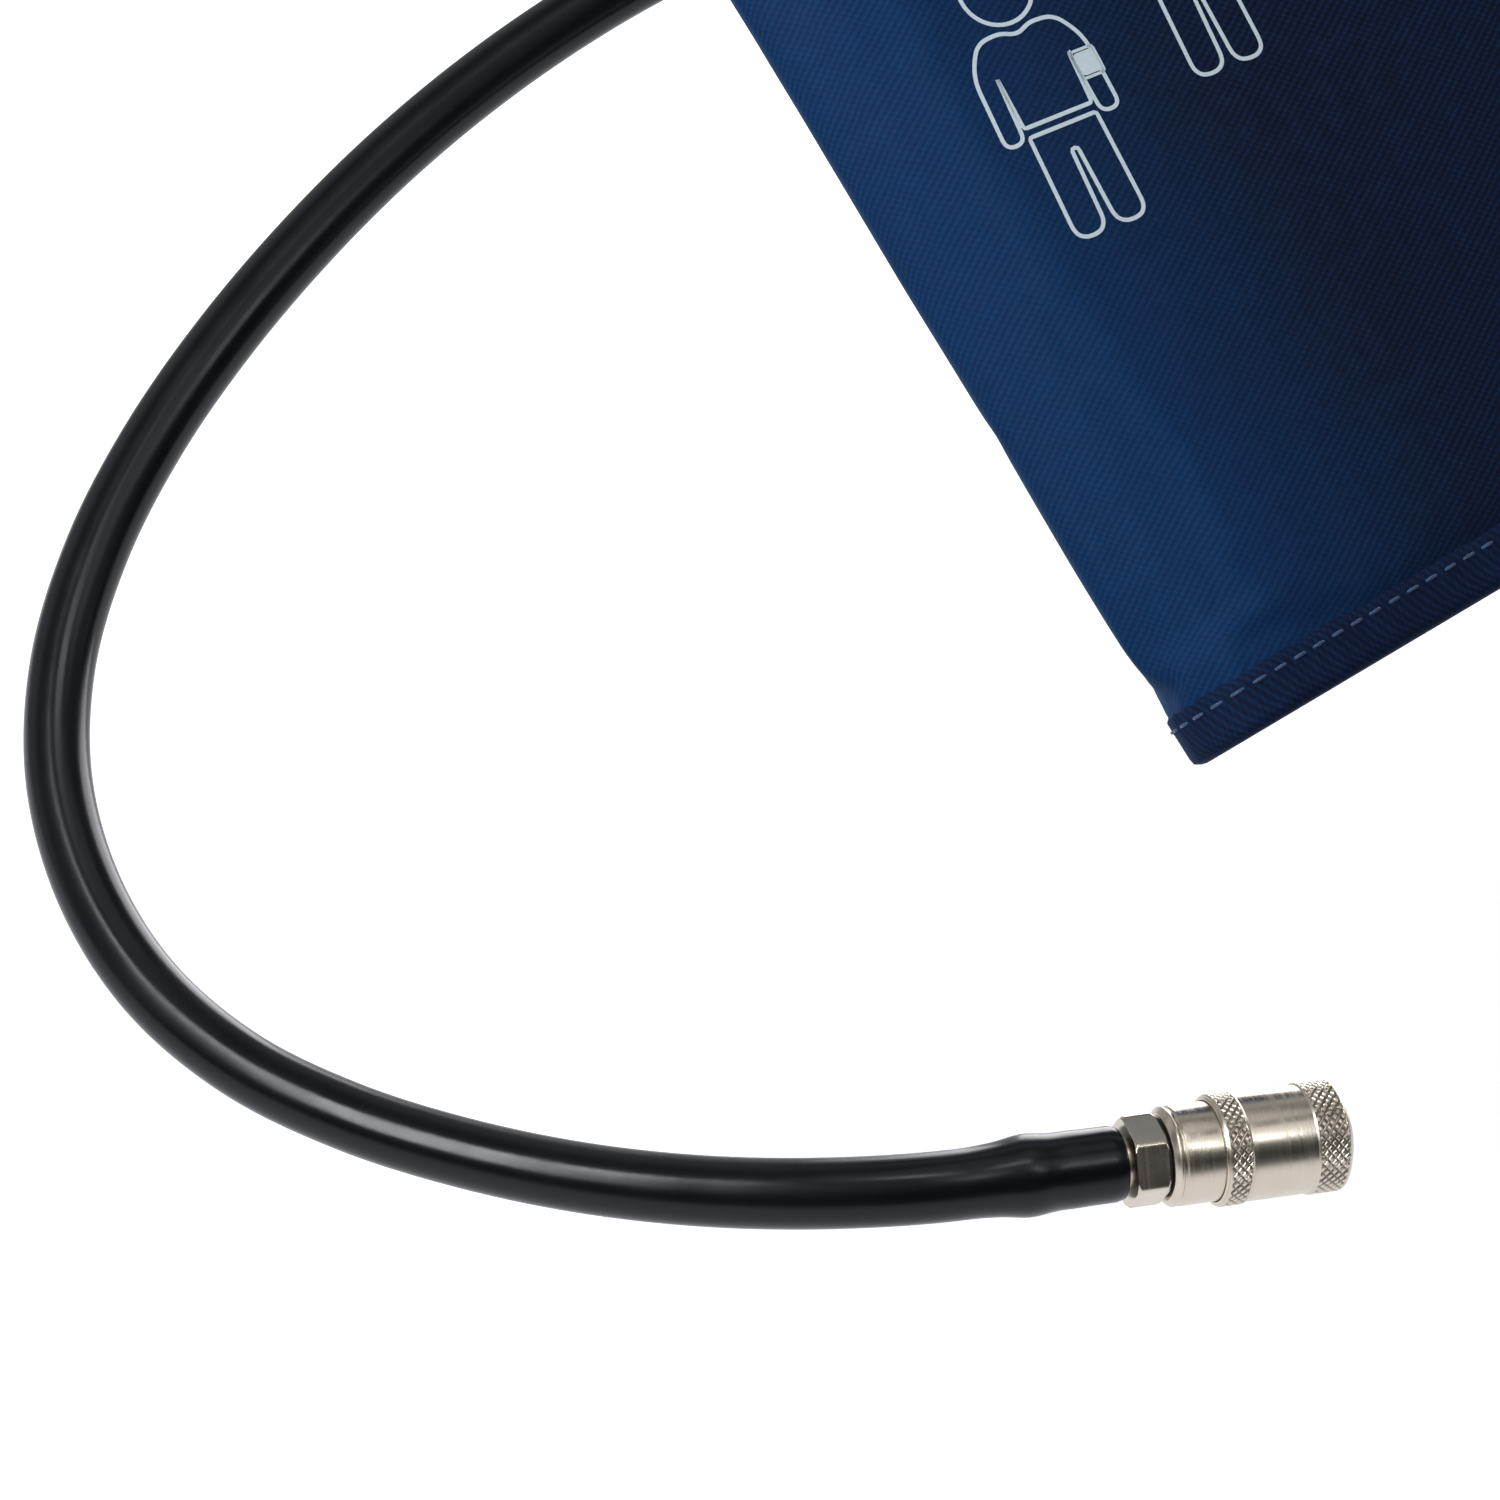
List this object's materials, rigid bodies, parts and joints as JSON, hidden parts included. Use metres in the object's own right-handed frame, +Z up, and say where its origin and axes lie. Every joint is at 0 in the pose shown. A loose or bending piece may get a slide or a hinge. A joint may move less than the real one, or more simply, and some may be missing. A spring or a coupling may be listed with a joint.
{
  "type": "blood pressure cuff",
  "caption": "Folded fabric blood pressure cuff with a hinged printed flap, an air hose from a swivel port, and a metal quick coupling with a locking sleeve.",
  "frame": {"origin": "centre of the quick coupling's mouth", "axes": "+X along the coupling axis out of the mouth; +Z up; -Y towards the printed front of the cuff"},
  "size_m": [0.3026, 0.1849, 0.2232],
  "materials": {
    "navy_cover": "fine twill woven, coated",
    "navy_binding": "woven tape",
    "dark_lining": "brushed nylon lining",
    "bladder": "smooth moulded sheet",
    "padding": "soft fill",
    "loop_pile": "loop pile",
    "hook_tape": "hook tape",
    "port_plastic": "moulded",
    "hose_rubber": "satin",
    "nickel": "satin nickel plate",
    "steel": "bright",
    "seal": "matt"
  },
  "bodies": {
    "back_panel": {"back_cover": "navy_cover", "back_lining": "dark_lining", "bladder_back": "bladder", "back_edge_binding": "navy_binding", "port_flange": "port_plastic", "port_o_ring": "seal"},
    "inner_panel": {"inner_cover": "navy_cover", "inner_lining": "dark_lining", "bladder_inner": "bladder", "inner_edge_binding": "navy_binding", "loop_patch": "loop_pile"},
    "flap": {"flap_cover": "navy_cover", "flap_padding": "padding", "flap_lining": "dark_lining", "flap_edge_binding": "navy_binding", "hook_patch": "hook_tape"},
    "elbow": {"port_elbow": "port_plastic", "hose_segment_4": "hose_rubber"},
    "hose_upper": {"hose_segment_3": "hose_rubber"},
    "hose_lower": {"hose_segment_2": "hose_rubber"},
    "coupling": {"hose_segment_1": "hose_rubber", "hose_tail": "nickel", "tail_washer": "seal", "coupling_body": "nickel", "sleeve_stop_ring": "steel", "sleeve_spring": "steel", "socket_o_ring": "seal", "valve_spring": "steel"},
    "sleeve": {"locking_sleeve": "nickel"},
    "valve": {"valve_poppet": "nickel", "poppet_seal": "seal"},
    "ball_1": {"locking_ball_1": "steel"},
    "ball_2": {"locking_ball_2": "steel"},
    "ball_3": {"locking_ball_3": "steel"},
    "ball_4": {"locking_ball_4": "steel"},
    "ball_5": {"locking_ball_5": "steel"},
    "ball_6": {"locking_ball_6": "steel"}
  },
  "joints": [
    {"name": "flap_fold", "type": "hinge", "parent": "back_panel", "child": "flap", "pos_m": [-0.03382, 0.09258, 0.09836], "axis": [0.39, -0.512, -0.7653], "range_deg": [0, 150]},
    {"name": "inner_fold", "type": "hinge", "parent": "back_panel", "child": "inner_panel", "pos_m": [0.10428, 0.12884, 0.14447], "axis": [-0.39, 0.512, 0.7653], "range_deg": [0, 150]},
    {"name": "port_swivel", "type": "hinge", "parent": "back_panel", "child": "elbow", "pos_m": [-0.01591, 0.14489, 0.15415], "axis": [0.0061, -0.8297, 0.5582], "range_deg": [-20, 20], "stiffness_Nm_per_rad": 3},
    {"name": "hose_bend_3", "type": "hinge", "parent": "elbow", "child": "hose_upper", "pos_m": [-0.10158, 0.14287, 0.10806], "axis": [-0.2968, -0.6466, 0.7028], "range_deg": [-12, 12], "stiffness_Nm_per_rad": 3},
    {"name": "hose_bend_2", "type": "hinge", "parent": "hose_upper", "child": "hose_lower", "pos_m": [-0.15876, 0.10244, 0.04654], "axis": [-0.2968, -0.6466, 0.7028], "range_deg": [-12, 12], "stiffness_Nm_per_rad": 3},
    {"name": "hose_bend_1", "type": "hinge", "parent": "hose_lower", "child": "coupling", "pos_m": [-0.12962, 0.03847, 0.00105], "axis": [-0.2968, -0.6466, 0.7028], "range_deg": [-12, 12], "stiffness_Nm_per_rad": 3},
    {"name": "sleeve_slide", "type": "slide", "parent": "coupling", "child": "sleeve", "axis": [-1, 0, 0], "range_m": [0, 0.0035], "stiffness_N_per_m": 400, "springref_m": -0.003, "deforming": ["sleeve_spring"]},
    {"name": "valve_slide", "type": "slide", "parent": "coupling", "child": "valve", "axis": [-1, 0, 0], "range_m": [0, 0.003], "stiffness_N_per_m": 300, "springref_m": -0.003, "deforming": ["valve_spring"]},
    {"name": "ball_1_slide", "type": "slide", "parent": "coupling", "child": "ball_1", "axis": [0, 0, 1], "range_m": [0, 0.00075]},
    {"name": "ball_2_slide", "type": "slide", "parent": "coupling", "child": "ball_2", "axis": [0, 0.866, 0.5], "range_m": [0, 0.00075]},
    {"name": "ball_3_slide", "type": "slide", "parent": "coupling", "child": "ball_3", "axis": [0, 0.866, -0.5], "range_m": [0, 0.00075]},
    {"name": "ball_4_slide", "type": "slide", "parent": "coupling", "child": "ball_4", "axis": [0, 0, -1], "range_m": [0, 0.00075]},
    {"name": "ball_5_slide", "type": "slide", "parent": "coupling", "child": "ball_5", "axis": [0, -0.866, -0.5], "range_m": [0, 0.00075]},
    {"name": "ball_6_slide", "type": "slide", "parent": "coupling", "child": "ball_6", "axis": [0, -0.866, 0.5], "range_m": [0, 0.00075]}
  ],
  "couplings": [
    {"joint": "inner_fold", "follows": "flap_fold", "ratio": 1},
    {"joint": "ball_1_slide", "follows": "sleeve_slide", "ratio": 0.21429},
    {"joint": "ball_2_slide", "follows": "sleeve_slide", "ratio": 0.21429},
    {"joint": "ball_3_slide", "follows": "sleeve_slide", "ratio": 0.21429},
    {"joint": "ball_4_slide", "follows": "sleeve_slide", "ratio": 0.21429},
    {"joint": "ball_5_slide", "follows": "sleeve_slide", "ratio": 0.21429},
    {"joint": "ball_6_slide", "follows": "sleeve_slide", "ratio": 0.21429}
  ]
}
